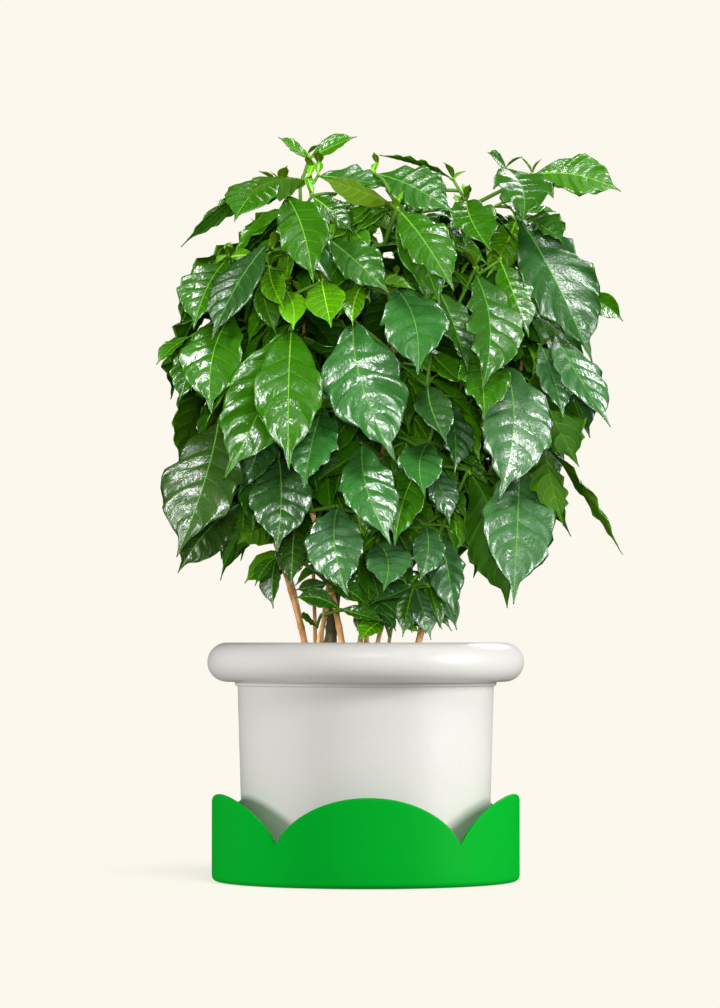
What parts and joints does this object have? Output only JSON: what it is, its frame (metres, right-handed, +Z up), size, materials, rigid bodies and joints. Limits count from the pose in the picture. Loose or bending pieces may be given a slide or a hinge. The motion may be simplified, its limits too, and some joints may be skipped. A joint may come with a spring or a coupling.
{
  "type": "potted coffee plant",
  "caption": "Young bushy coffee plant with drooping glossy leaves on a clump of thin stems, in a white glazed pot on a green scalloped saucer.",
  "frame": {"origin": "middle of the saucer's flat underside", "axes": "+Z up along the plant, -Y toward the side that the picture shows, +X to the right of that side"},
  "size_m": [0.33, 0.2939, 0.522],
  "materials": {
    "glaze": "gloss white glaze",
    "saucer": "satin green",
    "soil": "rough and dark",
    "bark": "thin tan and grey bark",
    "leaf": "glossy leaf"
  },
  "bodies": {
    "root": {"pot": "glaze", "saucer": "saucer", "soil": "soil", "trunk": "bark", "stem_left": "bark", "stem_front": "bark", "stem_crossing": "bark", "stem_middle": "bark", "stem_right": "bark", "stem_far_right": "bark", "stem_thin": "bark", "stem_back_left": "bark", "stem_back": "bark", "stem_back_right": "bark", "shoot_low_right": "bark", "shoot_low_left": "bark", "foliage_middle": "leaf", "foliage_left": "leaf", "foliage_front_left": "leaf", "foliage_front": "leaf", "foliage_top_right": "leaf", "foliage_front_right": "leaf", "foliage_right": "leaf", "foliage_top_left": "leaf", "foliage_back_left": "leaf", "foliage_back": "leaf", "foliage_back_right": "leaf", "foliage_low_right": "leaf", "foliage_low_left": "leaf"}
  },
  "joints": []
}
